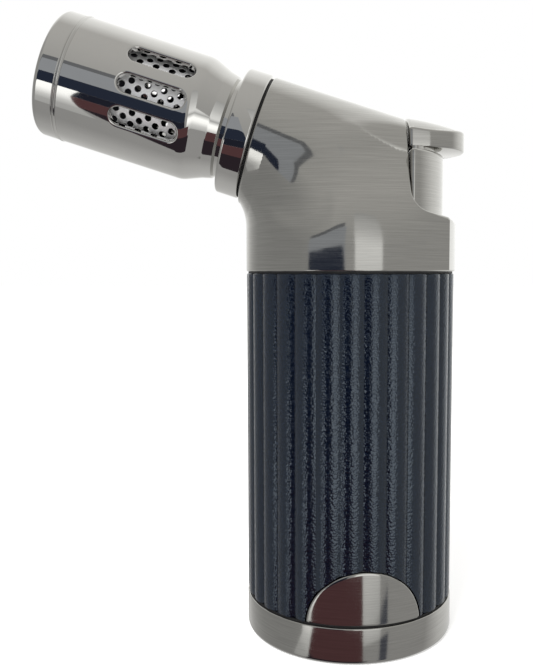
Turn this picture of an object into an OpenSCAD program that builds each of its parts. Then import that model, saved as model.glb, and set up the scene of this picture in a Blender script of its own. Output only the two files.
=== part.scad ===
// Table-top butane torch: round reeded handle, hooded head with a raised barrel,
// sliding thumb pad, piezo igniter and refillable tank.
// Origin: centre of the base's flat underside. +Z up, the barrel points to -X.

/* [Body] */
// Radius of the handle, head skirt and base cup
body_r = 19; // [17:0.5:21]
// Height of the base cup
base_h = 6.3; // [5:0.1:8]
// Height at which the head shell starts
head_z = 65.7; // [62:0.1:70]
// Thickness of the dark seam gaskets above and below the sleeve
seam = 0.35; // [0.2:0.05:0.5]

/* [Grip sleeve] */
// Number of convex reeds around the sleeve
reeds = 29; // [24:1:32]
// Azimuth of the first groove, from +X
reed_turn = 1.3; // [0:0.1:12]
// Depth of the grooves between the reeds
reed_depth = 0.5; // [0.3:0.05:0.6]
// Azimuth of the half-moon plate, from -Y towards +X
plate_turn = 5.8; // [-10:0.1:10]
// Radius of the half-moon plate's outline
plate_r = 9.8; // [8:0.1:11]

/* [Head and barrel] */
// Upward tilt of the barrel axis
tilt = 17.8; // [14:0.1:20]
// Height at which the barrel axis crosses the body axis
axis_z = 84.4; // [84:0.1:86]
// Radius of the head's tube and of the barrel
tube_r = 11.2; // [11:0.1:11.5]
// Wall of the head shell
shell_wall = 1; // [0.8:0.1:1.1]
// X of the vertical cut behind which the thumb pad slides
cut_x = 9.3; // [9:0.1:9.4]
// Distance along the barrel axis to the barrel's mouth
mouth_s = 55.7; // [52:0.1:60]
// Length of the air slots
slot_l = 11.8; // [10:0.1:12]
// Width of the air slots
slot_w = 3.3; // [2.6:0.1:3.6]

/* [Trigger] */
// Height of the thumb pad's underside
pad_z = 87; // [86.5:0.1:87.5]
// Half width of the thumb pad
pad_r = 9; // [8:0.1:10]
// X of the thumb pad's round end
pad_end_x = 20.6; // [19:0.1:22]
// Radius of the trigger post
post_r = 16.8; // [16:0.1:16.9]
// Trigger travel
travel = 5.5; // [4:0.1:5.6]

/* [Hidden] */
$fn = 96;
eps = 0.01;

// Colours
gunmetal = [0.42, 0.42, 0.42];
black_chrome = [0.30, 0.30, 0.31];
navy_black = [0.07, 0.09, 0.12];
rubber_black = [0.03, 0.03, 0.03];
brass_yellow = [0.78, 0.62, 0.30];
steel = [0.62, 0.63, 0.65];
nylon_white = [0.85, 0.85, 0.82];
nylon_black = [0.10, 0.10, 0.11];
ceramic_white = [0.93, 0.92, 0.88];
copper = [0.72, 0.45, 0.30];

// Handle
base_floor = 2.6;
sleeve_z0 = base_h + seam;
sleeve_z1 = head_z - seam;
sleeve_in_r = 17.95;
liner_tube_r = 17.9;
liner_tube_in_r = 17.1;
liner_tube_top = 69.5;
gasket_r = body_r - 0.35;
plate_gap = 0.2;
plate_rise = 9.2;
plate_centre_z = sleeve_z0 + plate_rise - plate_r;

// Tank
tank_r = 16.9;
tank_wall = 1.3;
tank_step_z = 33;
tank_top_z = 54;
tank_flat_x = 5;
valve_x = -6;
refill_x = 8;
needle_r = 1.2;
screw_y = 12;

// Screws, dial and refill valve in the base
screw_head_z = 1.6;
screw_head_r = 2;
screw_shank_r = 1;
refill_body_r = 2.6;
refill_spring_z0 = 4;
refill_spring_z1 = 9.8;
dial_r = 3.4;

// Valve gear
stem_r = 1;
spring_in_r = 1.15;
pin_r = 0.8;
valve_r = 2.9;
valve_flange_r = 3.8;
seal_z0 = 52.3;
stem_z0 = 53;
outlet_spring_z0 = 54.2;
outlet_spring_z1 = 59;
lever_x = 5.2;
lever_z = 66;
flange_z = 65;

// Igniter
piezo_x = 11.5;
piezo_z1 = 51.5;
piezo_half = 4;
plunger_half = 3.1;
plunger_z0 = 46;
plunger_z1 = 70;
hammer_r = 2;
hammer_z0 = 50;
hammer_z1 = 57;
hammer_room_z = 66;
crystal_z0 = 35;
crystal_z1 = 45.5;
anvil_z1 = 46.5;

// Screw that holds the thumb pad on its post
pad_screw_x = 13;
pad_screw_r = 0.8;
pad_screw_head_r = 1.9;
pad_screw_z = 80;

// Head
shoulder_slope = 59;
throat_s = 16.4;
tube_end_s = 17.4;
lip_z = 76.2;
lip_fall = 0.18;
lip_fillet = 3;
notch_play = 0.3;

// Stations along the barrel axis
collar_s0 = 18.2;
collar_s1 = 22.3;
neck_s = 23.3;
burner_s0 = 12;
burner_s1 = 27.5;
burner_r = 8;
disc_s1 = 29;
barrel_in_r = 10.2;
bead_s = 51.7;
slot_s = 30.1;
slot_turn = 3;
liner_r = 9;
liner_s0 = 29.2;
liner_s1 = 47;
jet_ring_r = 4.2;
jet_r = 1.5;
jet_s1 = 30.5;
spark_r = 6.4;
insulator_r = 1.2;
insulator_s1 = 33;

// Routes of the gas hose and the ignition wire
hose_route = [
    [-6, 0, 69.05], [-6, 0, 73], [-4.5, 0, 77], [0, 0, 79.3], [3.4, 0, 81.5],
    [2.6, 0, 83.9], [-1.5, 0, 84.9], [-4.76, 0, 85.93]
];
wire_route = [
    [-8.5, 0, 93.8], [-6, 0.6, 93], [-2, 2.5, 90.5], [2, 5, 86], [5.5, 7, 76],
    [7.5, 8, 66], [8, 8, 54], [8, 7.5, 44], [9.2, 5.8, 37.2], [9.5, 4.2, 36.5]
];

// Points of an arc from angle a0 to a1 in n steps
function arc(x, y, r, a0, a1, n = 6) =
    [for (i = [0:n]) let (a = a0 + (a1 - a0) * i / n) [x + r * cos(a), y + r * sin(a)]];

function unit(v) = v / norm(v);
function tangent(p, i) = unit(p[min(i + 1, len(p) - 1)] - p[max(i - 1, 0)]);
function square_to(u, t) = unit(u - (u * t) * t);
// Ring normals carried along a route without twist
function normals(p, u, i = 0) =
    i == len(p) ? [] : let (n = square_to(u, tangent(p, i))) concat([n], normals(p, n, i + 1));
// A smooth curve through the points of a route
function spline(p, m) = concat([
    for (i = [0:len(p) - 2], k = [0:m - 1])
        let (a = p[max(i - 1, 0)], b = p[i], c = p[i + 1], d = p[min(i + 2, len(p) - 1)], t = k / m)
        0.5 * (2 * b + (c - a) * t + (2 * a - 5 * b + 4 * c - d) * t * t
            + (3 * b - a - 3 * c + d) * t * t * t)
], [p[len(p) - 1]]);

// A round cord swept along a route, with flat ends
module cord(route, r, sides = 8) {
    p = spline(route, 3);
    n = normals(p, [0, 1, 0.02]);
    rings = [
        for (i = [0:len(p) - 1], k = [0:sides - 1])
            let (a = 360 * k / sides, u = n[i], v = cross(tangent(p, i), u))
            p[i] + r * (cos(a) * u + sin(a) * v)
    ];
    last = (len(p) - 1) * sides;
    sides_faces = [
        for (i = [0:len(p) - 2], k = [0:sides - 1])
            let (j = (k + 1) % sides)
            [i * sides + k, (i + 1) * sides + k, (i + 1) * sides + j, i * sides + j]
    ];
    start_cap = [[for (k = [0:sides - 1]) k]];
    end_cap = [[for (k = [0:sides - 1]) last + sides - 1 - k]];
    polyhedron(points = rings, faces = concat(sides_faces, start_cap, end_cap));
}

// Local +Z runs along the barrel axis from station s; local +X is its upper side
module on_barrel(s = 0) {
    translate([0, 0, axis_z]) rotate([0, tilt - 90, 0]) translate([0, 0, s]) children();
}

module rod(r, z0, z1) {
    translate([0, 0, z0]) cylinder(r = r, h = z1 - z0);
}

module ring(r_out, r_in, z0, z1) {
    difference() {
        rod(r_out, z0, z1);
        rod(r_in, z0 - 1, z1 + 1);
    }
}

// Round bar of length l across the body, through the point [x, z]
module cross_rod(r, l, at) {
    translate([at[0], 0, at[1]]) rotate([90, 0, 0]) cylinder(r = r, h = l, center = true);
}

// The part of a round bar of radius r that lies beyond the plane x = flat
module d_bar(r, flat, z0, z1) {
    intersection() {
        rod(r, z0, z1);
        translate([flat, -r - 1, z0 - 1]) cube([2 * r, 2 * r + 2, z1 - z0 + 2]);
    }
}

// The part of a round bar of radius r on the near side of the plane x = flat
module d_bar_rest(r, flat, z0, z1) {
    intersection() {
        rod(r, z0, z1);
        translate([flat - 3 * r, -r - 1, z0 - 1]) cube([3 * r, 2 * r + 2, z1 - z0 + 2]);
    }
}

// ---- Handle ----

module base_cup() {
    edge = 0.8;
    color(gunmetal) difference() {
        rotate_extrude() polygon(concat(
            [[0, 0]],
            arc(body_r - edge, edge, edge, -90, 0),
            [[body_r, base_h], [sleeve_in_r, base_h], [sleeve_in_r, base_floor], [0, base_floor]]
        ));
        translate([refill_x, 0, 0]) rod(refill_body_r + 0.15, -1, base_floor + 1);
        translate([valve_x, 0, 0]) rod(dial_r + 0.3, -1, base_floor + 1);
        for (side = [-1, 1]) translate([0, side * screw_y, 0]) {
            rod(screw_shank_r + 0.1, -1, base_floor + 1);
            rod(screw_head_r + 0.2, -1, screw_head_z);
        }
    }
}

module base_screws() {
    head_z0 = 0.4;
    slot_depth = 0.5;
    slot = [2.6, 0.6];
    color(steel) for (side = [-1, 1]) translate([0, side * screw_y, 0]) difference() {
        union() {
            rod(screw_head_r, head_z0, screw_head_z);
            rod(screw_shank_r, screw_head_z, 8);
        }
        for (a = [0, 90]) rotate([0, 0, a]) translate([-slot[0] / 2, -slot[1] / 2, 0])
            cube([slot[0], slot[1], head_z0 + slot_depth]);
    }
}

module body_tube() {
    color(steel) ring(liner_tube_r, liner_tube_in_r, base_floor, liner_tube_top);
}

module lower_gasket() {
    color(rubber_black) ring(gasket_r, sleeve_in_r, base_h, sleeve_z0);
}

module upper_gasket() {
    color(rubber_black) ring(gasket_r, sleeve_in_r, sleeve_z1, head_z);
}

// Radial cylinder that outlines the half-moon plate
module plate_outline(grow) {
    rotate([0, 0, plate_turn]) translate([0, 0, plate_centre_z]) rotate([90, 0, 0])
        cylinder(r = plate_r + grow, h = body_r + 1);
}

module grip_sleeve() {
    crest_r = body_r - 0.05;
    groove_r = crest_r - reed_depth;
    half_pitch = 180 / reeds;
    // Radius of each reed, so that neighbours meet at the groove radius
    chord = groove_r * sin(half_pitch);
    fall = crest_r - groove_r * cos(half_pitch);
    reed_r = (chord * chord + fall * fall) / (2 * fall);
    color(navy_black) difference() {
        translate([0, 0, sleeve_z0]) linear_extrude(sleeve_z1 - sleeve_z0) difference() {
            union() {
                circle(r = groove_r * cos(half_pitch));
                for (k = [0:reeds - 1]) rotate(reed_turn + (k + 0.5) * 2 * half_pitch)
                    translate([crest_r - reed_r, 0]) circle(r = reed_r, $fn = 64);
            }
            circle(r = sleeve_in_r);
        }
        plate_outline(plate_gap);
    }
}

module half_moon_plate() {
    color(gunmetal) intersection() {
        ring(body_r - 0.05, sleeve_in_r, sleeve_z0, sleeve_z0 + plate_rise + 1);
        plate_outline(0);
    }
}

// ---- Tank and valves ----

module fuel_tank() {
    inner_r = tank_r - tank_wall;
    color(nylon_white) difference() {
        union() {
            rod(tank_r, base_floor, tank_step_z);
            d_bar_rest(tank_r, tank_flat_x, tank_step_z - eps, tank_top_z);
        }
        rod(inner_r, base_floor - 1, tank_step_z - tank_wall);
        d_bar_rest(inner_r, tank_flat_x - tank_wall, tank_step_z - 2, tank_top_z - tank_wall);
        translate([valve_x, 0, 0]) rod(valve_r + 0.05, tank_top_z - 3, tank_top_z + 1);
    }
}

module tank_floor() {
    floor_z1 = base_floor + 2;
    boss_r = 2.2;
    color(nylon_white) difference() {
        union() {
            rod(tank_r - tank_wall - 0.02, base_floor, floor_z1);
            translate([valve_x, 0, 0]) rod(boss_r, floor_z1 - eps, 50);
            for (side = [-1, 1]) translate([0, side * screw_y, 0]) rod(boss_r, floor_z1 - eps, 9);
        }
        translate([valve_x, 0, 0]) rod(needle_r + 0.05, base_floor - 1, 51);
        translate([refill_x, 0, 0]) rod(refill_body_r + 0.05, base_floor - 1, floor_z1 + 1);
        for (side = [-1, 1]) translate([0, side * screw_y, 0])
            rod(screw_shank_r + 0.02, base_floor - 1, 8.2);
    }
}

module refill_valve_body() {
    color(brass_yellow) translate([refill_x, 0, 0]) difference() {
        rod(refill_body_r, 0.6, 11);
        rod(stem_r + 0.05, 0, 12);
        rod(1.6, 3, refill_spring_z1);
    }
}

module refill_stem() {
    color(steel) translate([refill_x, 0, 0]) difference() {
        union() {
            rod(stem_r, 0.3, 9);
            rod(1.5, 3.2, refill_spring_z0);
        }
        rod(0.4, 0, 3);
    }
}

module refill_spring() {
    color(steel) translate([refill_x, 0, 0]) ring(1.5, spring_in_r, refill_spring_z0, refill_spring_z1);
}

module refill_seal() {
    color(rubber_black) translate([refill_x, 0, 0]) ring(3.4, refill_body_r + 0.02, 4.6, 5.4);
}

module flame_adjuster() {
    slot_half = [2.6, 0.45];
    color(nylon_black) translate([valve_x, 0, 0]) difference() {
        rod(dial_r, 0.3, base_floor - 0.2);
        translate([-slot_half[0], -slot_half[1], 0]) cube([2 * slot_half[0], 2 * slot_half[1], 1.1]);
    }
}

module adjuster_needle() {
    cone_z = 48.5;
    color(brass_yellow) translate([valve_x, 0, 0]) {
        rod(needle_r, base_floor - 0.2, cone_z);
        translate([0, 0, cone_z - eps]) cylinder(r1 = needle_r, r2 = 0.3, h = 1.2);
    }
}

module outlet_valve_body() {
    color(brass_yellow) translate([valve_x, 0, 0]) difference() {
        union() {
            rod(valve_r, 50, 60);
            rod(valve_flange_r, tank_top_z, tank_top_z + 1.3);
        }
        rod(0.5, 49, stem_z0);
        rod(1.8, seal_z0, outlet_spring_z1);
        rod(stem_r + 0.05, 58, 61);
    }
}

module outlet_stem() {
    color(brass_yellow) translate([valve_x, 0, 0]) difference() {
        union() {
            rod(stem_r, stem_z0, 69);
            rod(1.6, stem_z0, outlet_spring_z0);
            rod(2.4, flange_z, flange_z + 1);
        }
        rod(0.4, 56, 70);
    }
}

module outlet_spring() {
    color(steel) translate([valve_x, 0, 0]) ring(1.6, spring_in_r, outlet_spring_z0, outlet_spring_z1);
}

module outlet_seal() {
    color(rubber_black) translate([valve_x, 0, 0]) ring(1.7, 0.5, seal_z0, stem_z0);
}

// Plate on the tank with the two ears that carry the lever's pin
module inner_frame() {
    plate_z1 = tank_top_z + 1.4;
    ear = [3.2, 1.4, 14];
    ear_y = 3.6;
    color(nylon_black) difference() {
        union() {
            d_bar_rest(tank_r - 0.3, tank_flat_x, tank_top_z, plate_z1);
            for (side = [-1, 1])
                translate([lever_x - ear[0] / 2, side * ear_y - ear[1] / 2, tank_top_z]) cube(ear);
        }
        translate([valve_x, 0, 0]) rod(valve_flange_r + 0.1, tank_top_z - 1, plate_z1 + 1);
        cross_rod(pin_r + 0.02, 20, [lever_x, lever_z]);
    }
}

// Bell crank: a fork under the stem's flange and an arm that follows the plunger's wedge
module valve_lever() {
    fork_z = 63.4;
    fork_end = valve_x - 2.2;
    fork_half = 2.8;
    toe = [6.7, 58];
    toe_r = 0.6;
    arm_w = 3;
    arm_x = lever_x - 0.4;
    color(steel) difference() {
        union() {
            cross_rod(2, 2 * fork_half, [lever_x, lever_z]);
            translate([fork_end, -fork_half, fork_z])
                cube([lever_x - fork_end, 2 * fork_half, 1.1]);
            translate([lever_x - 1.9, -fork_half, fork_z]) cube([2.6, 2 * fork_half, 2.6]);
            cross_rod(0.4, 2 * fork_half, [valve_x, fork_z + 1.1]);
            translate([arm_x, -arm_w / 2, toe[1]]) cube([1.4, arm_w, 8]);
            cross_rod(toe_r, arm_w, toe);
            translate([arm_x, -arm_w / 2, toe[1] - toe_r]) cube([1.5, arm_w, 2 * toe_r]);
        }
        cross_rod(pin_r + 0.05, 20, [lever_x, lever_z]);
        translate([-10, -stem_r - 0.3, fork_z - 1]) cube([valve_x + 12, 2 * stem_r + 0.6, 4]);
        translate([valve_x + 2, 0, 0]) rod(stem_r + 0.3, fork_z - 1, fork_z + 3);
    }
}

module lever_pin() {
    color(steel) cross_rod(pin_r, 8.6, [lever_x, lever_z]);
}

module gas_hose() {
    color(nylon_white) cord(hose_route, 1.1);
}

// ---- Igniter ----

module square_bar(half, z0, z1) {
    translate([-half, -half, z0]) cube([2 * half, 2 * half, z1 - z0]);
}

module piezo_housing() {
    color(nylon_white) translate([piezo_x, 0, 0]) difference() {
        square_bar(piezo_half, tank_step_z, piezo_z1);
        square_bar(plunger_half + 0.15, crystal_z0, piezo_z1 + 1);
    }
}

module piezo_plunger() {
    wedge_z = 57.7;
    wedge_half = 1.5;
    wedge_h = travel + 0.8;
    wedge_x = 7.42 - piezo_x;
    wedge_rise = 0.7;
    color(nylon_black) translate([piezo_x, 0, 0]) {
        difference() {
            square_bar(plunger_half, plunger_z0, plunger_z1);
            rod(hammer_r + 0.3, plunger_z0 - 1, hammer_room_z);
        }
        rotate([90, 0, 0]) linear_extrude(2 * wedge_half, center = true) polygon([
            [-plunger_half, wedge_z], [wedge_x, wedge_z],
            [wedge_x - wedge_rise, wedge_z + wedge_h], [-plunger_half, wedge_z + wedge_h]
        ]);
    }
}

module piezo_hammer() {
    color(steel) translate([piezo_x, 0, 0]) rod(hammer_r, hammer_z0, hammer_z1);
}

module hammer_spring() {
    color(steel) translate([piezo_x, 0, 0]) ring(1.9, 1.3, hammer_z1, hammer_room_z);
}

module return_spring() {
    color(steel) translate([piezo_x, 0, 0]) ring(2.9, 2.35, crystal_z0, plunger_z0);
}

module piezo_crystal() {
    color(ceramic_white) translate([piezo_x, 0, 0]) rod(1.9, crystal_z0, crystal_z1);
}

module piezo_anvil() {
    color(brass_yellow) translate([piezo_x, 0, 0]) rod(2, crystal_z1, anvil_z1);
}

module ignition_wire() {
    color(copper) cord(wire_route, 0.6);
}

// ---- Trigger ----

module trigger_post() {
    front_x = cut_x + notch_play;
    step_h = 0.8;
    post_z1 = pad_z - step_h;
    wall = 1.5;
    // Two pockets stand either side of a middle web
    pocket_y = 9;
    pocket_w = 10;
    color(gunmetal) difference() {
        union() {
            d_bar(post_r, front_x, plunger_z1, post_z1);
            translate([front_x + 0.6, -7.5, post_z1 - eps]) cube([5.6, 15, step_h + eps]);
        }
        for (side = [-1, 1]) intersection() {
            d_bar(post_r - wall, front_x + wall, plunger_z1 - 1, post_z1 - wall);
            translate([0, side * pocket_y - pocket_w / 2, plunger_z1 - 1]) cube([20, pocket_w, 20]);
        }
        translate([pad_screw_x, 0, 0]) rod(pad_screw_r + 0.25, 76, pad_z + 1);
        translate([pad_screw_x, 0, 0]) rod(pad_screw_head_r + 0.2, plunger_z1 + 2, pad_screw_z);
    }
}

// Plate with an upright edge and a domed top that falls towards its round end
module thumb_pad() {
    front_x = cut_x + notch_play;
    ridge_r = 48;
    dome_r = 13;
    front_z = 93.3;
    end_z = 90;
    run = [pad_end_x - front_x, end_z - front_z];
    middle = [(pad_end_x + front_x) / 2, (end_z + front_z) / 2];
    depth = sqrt(ridge_r * ridge_r - (run * run) / 4);
    centre = middle + depth * [run[1], -run[0]] / norm(run);
    color(gunmetal) difference() {
        intersection() {
            translate([0, 0, pad_z]) linear_extrude(10) intersection() {
                union() {
                    translate([pad_end_x - pad_r, 0]) circle(r = pad_r);
                    translate([0, -pad_r]) square([pad_end_x - pad_r, 2 * pad_r]);
                }
                translate([front_x, -pad_r]) square(2 * pad_r);
            }
            translate([centre[0], 0, centre[1]]) rotate([90, 0, 0]) rotate_extrude($fn = 192)
                intersection() {
                    translate([ridge_r - dome_r, 0]) circle(r = dome_r);
                    translate([ridge_r - dome_r, -dome_r]) square([dome_r, 2 * dome_r]);
                }
        }
        translate([pad_screw_x, 0, 0]) rod(pad_screw_r + 0.02, pad_z - 1, pad_z + 3);
    }
}

module pad_screw() {
    head_z0 = pad_screw_z - 1.4;
    slot = [2.4, 0.5, 0.6];
    color(steel) translate([pad_screw_x, 0, 0]) difference() {
        union() {
            rod(pad_screw_head_r, head_z0, pad_screw_z);
            rod(pad_screw_r, pad_screw_z - eps, pad_z + 2.8);
        }
        translate([-slot[0] / 2, -slot[1] / 2, head_z0 - slot[2]])
            cube([slot[0], slot[1], 2 * slot[2]]);
    }
}

// ---- Head ----

// Section of the head's shoulders, across the barrel axis: two slopes that run out of the tube
function shoulder_section(inset) =
    let (
        reach = tube_r - 0.2 - inset,
        top = 6 - inset,
        half = function (x) (reach - x * cos(shoulder_slope)) / sin(shoulder_slope)
    )
    [
        [top, -half(top)], [top, half(top)], [-14, half(-14)],
        [-70, half(-14)], [-70, -half(-14)], [-14, -half(-14)]
    ];

// Outer form of the head, drawn in by inset: a round skirt under sloping shoulders, and a tube
module head_form(inset) {
    intersection() {
        rod(body_r - inset, head_z - inset, 110);
        on_barrel(-30) linear_extrude(30 + throat_s - inset) polygon(shoulder_section(inset));
    }
    on_barrel(-12) cylinder(r = tube_r - inset, h = 12 + tube_end_s);
}

// The cut at the back of the head, above its lip, grown by g
module rear_cut(g) {
    corner = [cut_x - g, lip_z - g];
    rotate([90, 0, 0]) linear_extrude(4 * body_r, center = true) polygon(concat(
        [[corner[0], 120]],
        arc(corner[0] + lip_fillet, corner[1] + lip_fillet, lip_fillet, 180, 260),
        [[40, corner[1] - lip_fall * (40 - corner[0])], [40, 120]]
    ));
}

module head_shell() {
    color(gunmetal) difference() {
        head_form(0);
        rear_cut(0);
        difference() {
            union() {
                head_form(shell_wall);
                on_barrel(6) cylinder(r = tube_r - shell_wall, h = 20);
            }
            rear_cut(shell_wall);
        }
        d_bar(post_r + notch_play, cut_x + 0.15, head_z - 2, 100);
    }
}

module collar_gasket() {
    color(rubber_black) on_barrel() ring(10.75, 10.12, tube_end_s, collar_s0);
}

module collar_ring() {
    edge = 0.4;
    flange_r = tube_r + 0.2;
    color(black_chrome) on_barrel() rotate_extrude() polygon(concat(
        [[burner_r + 0.04, burner_s0], [10.1, burner_s0], [10.1, collar_s0]],
        arc(flange_r - edge, collar_s0 + edge, edge, -90, 0),
        arc(flange_r - edge, collar_s1 - edge, edge, 0, 90),
        [[8.9, collar_s1], [8.9, neck_s], [burner_r + 0.04, neck_s]]
    ));
}

// ---- Burner ----

// Its children at each of the four jets, in the barrel's frame
module at_jets() {
    for (a = [45:90:315]) rotate([0, 0, a]) translate([jet_ring_r, 0, 0]) children();
}

module burner_body() {
    color(brass_yellow) on_barrel() difference() {
        union() {
            rod(burner_r, burner_s0, burner_s1);
            rod(5, 8, burner_s0 + eps);
            rod(1.2, 5, 8 + eps);
        }
        rod(0.6, 4, burner_s1 - 4);
        rod(5.2, burner_s1 - 6, burner_s1 - 2);
        at_jets() rod(0.7, burner_s1 - 3, burner_s1 + 1);
        translate([spark_r, 0, 0]) rod(insulator_r + 0.05, 4, burner_s1 + 1);
    }
}

module gas_jets() {
    tip_h = 1.2;
    color(brass_yellow) on_barrel() at_jets() difference() {
        union() {
            rod(jet_r, burner_s1, jet_s1);
            translate([0, 0, jet_s1 - eps]) cylinder(r1 = jet_r, r2 = 0.8, h = tip_h);
        }
        rod(0.35, burner_s1 - 1, jet_s1 + 2 * tip_h);
    }
}

module flame_disc() {
    color(steel) on_barrel() difference() {
        rod(8.5, burner_s1, disc_s1);
        at_jets() rod(jet_r + 0.06, burner_s1 - 1, disc_s1 + 1);
        translate([spark_r, 0, 0]) rod(insulator_r + 0.05, burner_s1 - 1, disc_s1 + 1);
    }
}

module insulator() {
    color(ceramic_white) on_barrel() translate([spark_r, 0, 0]) rod(insulator_r, 11, insulator_s1);
}

module electrode() {
    tip_in = 2.2;
    wire_r = 0.45;
    bend_s = 36.5;
    color(steel) on_barrel() translate([spark_r, 0, 0]) {
        rod(wire_r, insulator_s1, bend_s);
        translate([0, 0, bend_s - wire_r]) rotate([0, -90, 0]) cylinder(r = wire_r, h = tip_in);
    }
}

module perforated_liner() {
    in_r = liner_r - 0.4;
    color(steel) on_barrel() {
        ring(liner_r, in_r, liner_s0, liner_s1);
        ring(barrel_in_r - 0.03, in_r, liner_s0 - 0.2, liner_s0 + 0.5);
    }
}

// One air slot: a rectangle with round ends, cut through the wall on local +X
module air_slot() {
    end_r = slot_w / 2;
    straight = slot_l - slot_w;
    translate([0, 0, slot_s + end_r]) rotate([0, 90, 0]) linear_extrude(14) union() {
        circle(r = end_r);
        translate([-straight, 0]) circle(r = end_r);
        translate([-straight, -end_r]) square([straight, slot_w]);
    }
}

module flame_barrel() {
    rim = 0.9;
    bead_r = 0.3;
    color(black_chrome) on_barrel() difference() {
        rotate_extrude() polygon(concat(
            [[burner_r + 0.04, neck_s], [8.9, neck_s], [9.3, neck_s + 0.4], [9.8, 25.5]],
            arc(tube_r - 2, 29.6, 2, -33, 0),
            arc(tube_r - 0.15, bead_s, bead_r, -60, 60),
            arc(tube_r - rim, mouth_s - rim, rim, 0, 90),
            [[barrel_in_r, mouth_s], [barrel_in_r, disc_s1], [8.7, burner_s1], [burner_r + 0.04, burner_s1]]
        ));
        for (side = [90, 270], a = [-30, 0, 30]) rotate([0, 0, side + a + slot_turn]) air_slot();
    }
}

base_cup();
base_screws();
body_tube();
lower_gasket();
grip_sleeve();
half_moon_plate();
upper_gasket();
fuel_tank();
tank_floor();
refill_valve_body();
refill_stem();
refill_spring();
refill_seal();
flame_adjuster();
adjuster_needle();
outlet_valve_body();
outlet_stem();
outlet_spring();
outlet_seal();
inner_frame();
valve_lever();
lever_pin();
gas_hose();
piezo_housing();
piezo_plunger();
piezo_hammer();
hammer_spring();
return_spring();
piezo_crystal();
piezo_anvil();
ignition_wire();
trigger_post();
thumb_pad();
pad_screw();
head_shell();
collar_gasket();
collar_ring();
burner_body();
gas_jets();
flame_disc();
insulator();
electrode();
perforated_liner();
flame_barrel();
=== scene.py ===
"""Butane torch: the visual model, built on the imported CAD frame.

Lengths are millimetres in this code and become metres in add_mesh(). A station is a distance along
the barrel's axis from the grip's axis, and s and u are the ways along and above the barrel's axis.
"""
import math

import bmesh
import bpy
import numpy as np
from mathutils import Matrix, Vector


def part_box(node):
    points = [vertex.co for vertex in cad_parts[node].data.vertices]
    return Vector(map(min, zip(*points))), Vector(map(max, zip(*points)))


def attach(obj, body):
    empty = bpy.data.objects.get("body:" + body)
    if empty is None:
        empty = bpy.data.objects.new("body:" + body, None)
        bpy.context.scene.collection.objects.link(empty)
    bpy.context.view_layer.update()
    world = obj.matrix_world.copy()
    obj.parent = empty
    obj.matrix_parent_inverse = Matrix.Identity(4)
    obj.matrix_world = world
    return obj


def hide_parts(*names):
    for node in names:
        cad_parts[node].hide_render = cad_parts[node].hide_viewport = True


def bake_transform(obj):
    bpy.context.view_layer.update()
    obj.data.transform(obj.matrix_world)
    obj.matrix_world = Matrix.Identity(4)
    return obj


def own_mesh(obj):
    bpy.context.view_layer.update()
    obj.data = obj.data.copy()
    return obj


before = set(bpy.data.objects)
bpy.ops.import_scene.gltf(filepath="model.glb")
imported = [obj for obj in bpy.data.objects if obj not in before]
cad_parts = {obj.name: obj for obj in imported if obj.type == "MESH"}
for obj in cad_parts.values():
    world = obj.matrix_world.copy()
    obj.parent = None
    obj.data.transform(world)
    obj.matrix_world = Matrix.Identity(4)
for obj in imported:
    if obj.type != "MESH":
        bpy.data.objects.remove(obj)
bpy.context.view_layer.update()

MM = 0.001


def box_mm(node):
    """A CAD node's lowest and highest corners in millimetres."""
    lo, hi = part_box(node)
    return np.array(lo) / MM, np.array(hi) / MM


# ---- Sizes read from the frame ----
BODY_R, _, BASE_TOP = box_mm("base_cup")[1]
HEAD_Z = box_mm("upper_gasket")[1][2]
SLEEVE_Z0, SLEEVE_Z1 = (corner[2] for corner in box_mm("grip_sleeve"))
SLEEVE_R = BODY_R - 0.05
SLEEVE_IN_R = 17.95
PLATE_TOP = box_mm("half_moon_plate")[1][2]
PAD_LO, PAD_HI = box_mm("thumb_pad")
POST_LO = box_mm("trigger_post")[0]

# ---- The barrel's axis, the head and the base, as the CAD has them ----
TILT = math.radians(17.8)
AXIS = np.array([-math.cos(TILT), 0.0, math.sin(TILT)])
UPPER = np.array([math.sin(TILT), 0.0, math.cos(TILT)])
SIDE = np.array([0.0, 1.0, 0.0])
UP = np.array([0.0, 0.0, 1.0])
AXIS_AT = np.array([0.0, 0.0, 84.4])
TUBE_R = 11.2
CUT_X = 9.3
LIP_Z = 76.2
LIP_FALL = 0.18
LIP_FILLET = 3.0
POST_R = 16.8
BASE_FLOOR = 2.6
REFILL_X, VALVE_X, PIEZO_X, SCREW_Y = 8, -6, 11.5, 12


# ---- Mesh helpers ----
def faced(verts, faces, normals):
    """Faces turned over where they wind against their vertices' normals."""
    normals = np.asarray(normals)
    out = [None] * len(faces)
    for size in {len(f) for f in faces}:
        which = [k for k, f in enumerate(faces) if len(f) == size]
        index = np.array([faces[k] for k in which])
        p = verts[index]
        way = np.cross(p, np.roll(p, -1, axis=1)).sum(1)
        wrong = (way * normals[index].sum(1)).sum(1) < 0
        for k, turn_over in zip(which, wrong):
            out[k] = faces[k][::-1] if turn_over else faces[k]
    return out


def add_object(name, data):
    """An object in the scene from a mesh, lamp or camera."""
    obj = bpy.data.objects.new(name, data)
    bpy.context.scene.collection.objects.link(obj)
    return obj


def add_mesh(name, verts, faces):
    """An object in the scene from millimetre vertices."""
    mesh = bpy.data.meshes.new(name)
    mesh.from_pydata([tuple(v) for v in np.asarray(verts, float) * MM], [], faces)
    return add_object(name, mesh)


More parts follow.
